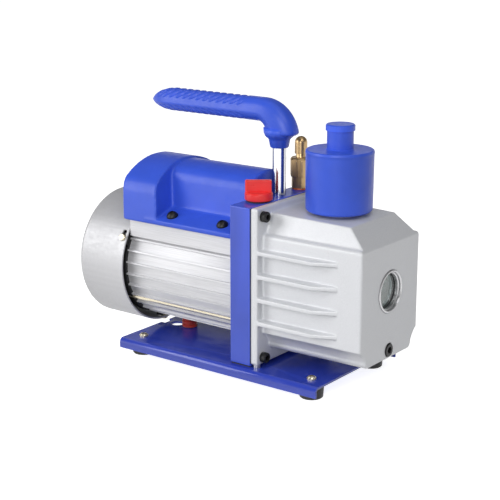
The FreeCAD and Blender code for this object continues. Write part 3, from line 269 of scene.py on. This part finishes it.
def drawn_metal(name, colour, along=(0.04, 1.0, 1.0), rough=0.3, metal=1.0, lines=1800.0, depth=0.00005,
                dark=0.86):
    """Metal with fine streaks along one direction, from rolling, extruding or turning. On chrome, with a low
    dark factor, the coarse streaks are painted dark reflection bands.
    """
    shade = Shade(name)
    streak_and_reflection_band = shade.noise(lines, stretch=along, detail=3.0)
    shade.colour(shade.ramp(streak_and_reflection_band, scaled(colour, dark), scaled(colour, 1.06)))
    shade.roughness(shade.spread(streak_and_reflection_band, rough - 0.08, rough + 0.10))
    shade.bump(streak_and_reflection_band, depth, 0.5)
    shade.bump(shade.noise(45.0, detail=2.0), 0.0003, 0.12)
    shade.set(Metallic=metal)
    return shade.material


def soft_rubber(name, colour, rough=0.62):
    shade = Shade(name)
    dust = shade.ramp(shade.noise(220.0), colour, scaled(colour, 1.7), 0.45, 0.75)
    shade.colour(dust)
    shade.roughness(shade.spread(shade.noise(500.0), rough - 0.1, rough + 0.12))
    shade.bump(shade.noise(1100.0, detail=3.0), 0.00015, 0.6)
    shade.set(Sheen_Weight=0.15, Sheen_Roughness=0.5)
    return shade.material


def felt(name, colour):
    shade = Shade(name)
    fibre = shade.noise(900.0, stretch=(1, 1, 3), detail=6.0, rough=0.7)
    shade.colour(shade.ramp(fibre, scaled(colour, 0.7), colour))
    shade.bump(fibre, 0.0006, 0.9)
    shade.set(Roughness=0.95, Sheen_Weight=0.4)
    return shade.material


def clear_glass(name):
    shade = Shade(name)
    shade.colour(shade.ramp(shade.noise(18.0), (0.70, 0.82, 0.80), (0.86, 0.93, 0.92)))
    shade.roughness(shade.spread(shade.noise(140.0), 0.02, 0.06))
    shade.bump(shade.noise(60.0, detail=2.0), 0.0004, 0.2)
    shade.set(Transmission_Weight=0.9, IOR=1.48, Coat_Weight=0.3)
    return shade.material


BLUE = (0.036, 0.098, 0.66)
MATERIALS = {
    "blue_paint": enamel("blue_paint", (0.025, 0.05, 0.40), 0.16),
    "blue_casting": enamel("blue_casting", (0.042, 0.085, 0.54), 0.34),
    "blue_plastic": moulded_plastic("blue_plastic", BLUE),
    "silver_paint": cast_paint("silver_paint", (0.69, 0.70, 0.725), 0.2, 0.42, 1700.0, 0.00016),
    "cowl_paint": cast_paint("cowl_paint", (0.50, 0.50, 0.515), 0.35, 0.46, 700.0, 0.00006),
    "extruded_aluminium": drawn_metal("extruded_aluminium", (0.66, 0.66, 0.68), (0.02, 1, 1), 0.46, 0.3),
    "black_casting": cast_paint("black_casting", (0.012, 0.012, 0.013), 0.2, 0.6),
    "black_steel": cast_paint("black_steel", (0.014, 0.014, 0.015), 0.5, 0.38, 1600.0, 0.00005),
    "zinc_steel": drawn_metal("zinc_steel", (0.66, 0.60, 0.46), (0.5, 1, 1), 0.30, 0.9, 900.0, 0.00001),
    "steel": drawn_metal("steel", (0.50, 0.50, 0.51), (0.05, 1, 1), 0.32, 0.9),
    "cast_iron": cast_paint("cast_iron", (0.16, 0.16, 0.165), 0.7, 0.5),
    # painted reflection: the chrome's colour drops to a quarter in coarse vertical bands that stand for
    # mirrored dark surroundings
    "chrome": drawn_metal("chrome", (0.80, 0.81, 0.84), (1, 1, 0.02), 0.12, 1.0, 260.0, 0.00001, 0.25),
    "brass": drawn_metal("brass", (0.50, 0.345, 0.175), (1, 1, 0.08), 0.32, 0.95, 600.0),
    "copper": drawn_metal("copper", (0.60, 0.26, 0.12), (0.1, 1, 1), 0.3),
    "red_plastic": moulded_plastic("red_plastic", (0.84, 0.030, 0.030), 0.32),
    "red_rubber": soft_rubber("red_rubber", (0.33, 0.018, 0.012), 0.45),
    "orange_rubber": soft_rubber("orange_rubber", (0.6, 0.12, 0.02), 0.4),
    "black_rubber": soft_rubber("black_rubber", (0.012, 0.012, 0.013)),
    "black_plastic": moulded_plastic("black_plastic", (0.018, 0.018, 0.02), 0.45, 1800.0, 0.0),
    "white_plastic": moulded_plastic("white_plastic", (0.70, 0.70, 0.66), 0.4),
    "filter_felt": felt("filter_felt", (0.72, 0.70, 0.62)),
    "glass": clear_glass("glass"),
}
SLOT_OF = {part["node"]: part["material_slot"] for part in frame["record"]["subparts"]}


def dress(thing, slot):
    thing.data.materials.clear()
    thing.data.materials.append(MATERIALS[slot])


# ---- carried-over CAD nodes ----
# Width of the bevel on each node's sharp edges, in millimetres.
BEVEL = {
    "pump_bracket": 0.5, "ballast_knob": 0.5, "power_rocker": 0.5, "power_inlet": 0.4, "switch_housing": 0.4,
    "terminal_block": 0.4, "inlet_fitting": 0.35, "inlet_body": 0.35, "bracket_bolts": 0.3,
    "cooling_fan": 0.3, "base_plate": 0.3, "tank_screws": 0.25, "drain_plug": 0.25, "motor_frame": 0.25,
    "fan_cover_screws": 0.2, "through_bolts": 0.2,
}
BEVEL_ANGLE = 35         # edges that turn by more degrees than this are bevelled
WELD = 1e-6              # metres between points that are joined


def finish_nodes():
    """Give each carried-over node its material, and break the sharp edges of the ones in view."""
    for name, thing in NODES.items():
        dress(thing, SLOT_OF[name])
        if name in BEVEL:
            weld = thing.modifiers.new("weld", "WELD")
            weld.merge_threshold = WELD
            bevel = thing.modifiers.new("bevel", "BEVEL")
            bevel.width = BEVEL[name] * MM
            bevel.segments = 2
            bevel.limit_method = "ANGLE"
            bevel.angle_limit = math.radians(BEVEL_ANGLE)
            bevel.use_clamp_overlap = True


# ---- pieces made here ----
def link(name, form, body, slot, *replaced):
    """Turn a bmesh into a smooth-shaded piece that rides on a body and stands for the named CAD nodes."""
    mesh = bpy.data.meshes.new(name)
    form.to_mesh(mesh)
    form.free()
    for face in mesh.polygons:
        face.use_smooth = True
    piece = bpy.data.objects.new(name, mesh)
    bpy.context.scene.collection.objects.link(piece)
    dress(piece, slot)
    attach(piece, body)
    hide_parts(*replaced)
    return piece


def lofted(rings, form):
    """Join rings of points into one closed skin."""
    rows = [[form.verts.new(point) for point in ring] for ring in rings]
    count = len(rows[0])
    for low, high in zip(rows, rows[1:]):
        for k in range(count):
            form.faces.new((low[k], low[(k + 1) % count], high[(k + 1) % count], high[k]))
    form.faces.new(list(reversed(rows[0])))
    form.faces.new(rows[-1])
    bmesh.ops.recalc_face_normals(form, faces=form.faces)


def softened(name, body, voxel, passes):
    """A rounded copy of a hard-edged CAD node: remeshed in cells of voxel millimetres, then relaxed."""
    source = NODES[name]
    mesh = source.data.copy()
    mesh.name = name + "_skin"
    piece = bpy.data.objects.new(name + "_skin", mesh)
    bpy.context.scene.collection.objects.link(piece)
    weld = piece.modifiers.new("weld", "WELD")
    weld.merge_threshold = WELD
    remesh = piece.modifiers.new("remesh", "REMESH")
    remesh.mode = "VOXEL"
    remesh.voxel_size = voxel * MM
    smooth = piece.modifiers.new("relax", "SMOOTH")
    smooth.iterations = passes
    smooth.factor = 0.5
    depsgraph = bpy.context.evaluated_depsgraph_get()
    baked = bpy.data.meshes.new_from_object(piece.evaluated_get(depsgraph))
    piece.modifiers.clear()
    piece.data = baked
    bpy.data.meshes.remove(mesh)
    for face in baked.polygons:
        face.use_smooth = True
    dress(piece, SLOT_OF[name])
    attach(piece, body)
    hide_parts(name)
    return piece


GRIP_THICK = 19.6 * MM
GRIP_AROUND = 96                    # points round one section of the grip
TIP_LENGTH = 26.0 * MM              # the bullet-shaped end
BAR_STEPS, BEND_STEPS = 260, 22
BEND_X, BEND_R = 18.0 * MM, 33.5 * MM
BEND_DEG = 78.0                     # how far the outside of the bend turns down
INNER_BEND_R = 6.0 * MM
NOSE_Z = 201.2 * MM                 # the flat underside of the bend
GROOVE_PITCH, GROOVE_DEPTH = 7.3 * MM, 1.3 * MM
GROOVE_X0, GROOVE_X1 = -92.0 * MM, 4.0 * MM
GROOVE_START = 0.3                  # grooves begin this far up the half height


def groove(x, s):
    """Depth of the slanting finger grooves at a place along the bar and at height s, from -1 to 1."""
    if not GROOVE_X0 < x < GROOVE_X1 or abs(s) < GROOVE_START:
        return 0.0
    slanted = x + 2.0 * GROOVE_PITCH * (1 - abs(s))
    fade = min(1.0, (x - GROOVE_X0) / GROOVE_PITCH, (GROOVE_X1 - x) / GROOVE_PITCH)
    fade *= min(1.0, (abs(s) - GROOVE_START) / 0.25)
    return GROOVE_DEPTH * fade * (0.5 + 0.5 * math.cos(2 * math.pi * slanted / GROOVE_PITCH)) ** 3


def grip_section(outer, inner, width, centre_y):
    """One ring between an outer and an inner (x, z) point of the side profile, creased along its flanks."""
    outer, inner = Vector((outer[0], 0, outer[1])), Vector((inner[0], 0, inner[1]))
    middle = (outer + inner) / 2
    up = outer - inner
    half_h = up.length / 2
    up.normalize()
    ring = []
    for k in range(GRIP_AROUND):
        angle = 2 * math.pi * k / GRIP_AROUND
        s = math.copysign(abs(math.sin(angle)) ** 0.86, math.sin(angle))
        side = math.copysign(1.0, math.cos(angle))
        swell = max(0.0, 1 - abs(s) ** 2.7) ** (1 / 2.7)
        crease = 1 - 0.17 * abs(s + 0.2)
        cut = groove(middle.x, s) if up.z > 0.99 else 0.0
        y = side * (width * swell * crease - 0.9 * cut)
        point = middle + up * (s * half_h - math.copysign(cut, s))
        ring.append(Vector((point.x, centre_y + y, point.z)))
    return ring


def handle_grip():
    """The moulded grip: bullet tip, notched top and underside, creased flanks, turned-down nose."""
    low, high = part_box("handle_grip")
    centre_y = (low.y + high.y) / 2
    half_w = (high.y - low.y) / 2
    top = high.z
    tip_x = low.x + 0.6 * MM
    bend_z = top - BEND_R
    rings = []
    for k in range(BAR_STEPS + 1):
        x = tip_x + (BEND_X - tip_x) * k / BAR_STEPS
        run = min(1.0, (x - tip_x) / TIP_LENGTH)
        grow = max(0.03, 1 - (1 - run) ** 2.1) ** 0.72
        mid_z = top - GRIP_THICK / 2 - 1.6 * MM * (1 - grow)
        half = GRIP_THICK / 2 * grow
        width = half_w * (0.12 + 0.88 * grow)
        rings.append(grip_section((x, mid_z + half), (x, mid_z - half), width, centre_y))
    for k in range(1, BEND_STEPS + 1):
        f = k / BEND_STEPS
        angle = math.radians(90 - BEND_DEG * f)
        outer = (BEND_X + BEND_R * math.cos(angle), bend_z + BEND_R * math.sin(angle))
        inner = (BEND_X + INNER_BEND_R * math.cos(angle) - 0.5 * MM,
                 top - GRIP_THICK - INNER_BEND_R * (1 - math.sin(angle)) - 3.0 * MM * f)
        rings.append(grip_section(outer, inner, half_w, centre_y))
    last_ring = rings[-1]
    centre = sum(last_ring, Vector()) / GRIP_AROUND
    for shrink, drop in ((0.985, 0.35), (0.94, 0.75), (0.86, 1.0)):
        ring = []
        for point in last_ring:
            near = centre + (point - centre) * shrink
            ring.append(Vector((near.x, near.y, point.z * (1 - drop) + NOSE_Z * drop)))
        rings.append(ring)
    form = bmesh.new()
    lofted(rings, form)
    collar(form)
    return link("handle_grip_skin", form, "pump", "blue_plastic", "handle_grip")


# Growth beyond the post's radius, then height, both in millimetres.
COLLAR_PROFILE = ((0.05, 190.1), (1.4, 190.1), (2.1, 190.8), (3.2, 196.6), (3.8, 197.6), (6.2, 199.7),
                  (7.4, 202.4), (7.7, 206.5))
COLLAR_AROUND = 48


def collar(form):
    """The tapered collar where the grip closes round the post."""
    post_low, post_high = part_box("handle_post")
    x, y = (post_low.x + post_high.x) / 2, (post_low.y + post_high.y) / 2
    post_r = (post_high.x - post_low.x) / 2
    angles = [2 * math.pi * k / COLLAR_AROUND for k in range(COLLAR_AROUND)]
    rings = []
    for grow, height in COLLAR_PROFILE:
        radius = post_r + grow * MM
        points = [(x + radius * math.cos(a), y + radius * math.sin(a), height * MM) for a in angles]
        rings.append([Vector(point) for point in points])
    lofted(rings, form)


add_camera()
add_lights()
add_floor()
finish_nodes()
handle_grip()
softened("capacitor_cover", "pump", 0.9, 7)
softened("oil_tank", "pump", 0.7, 2)
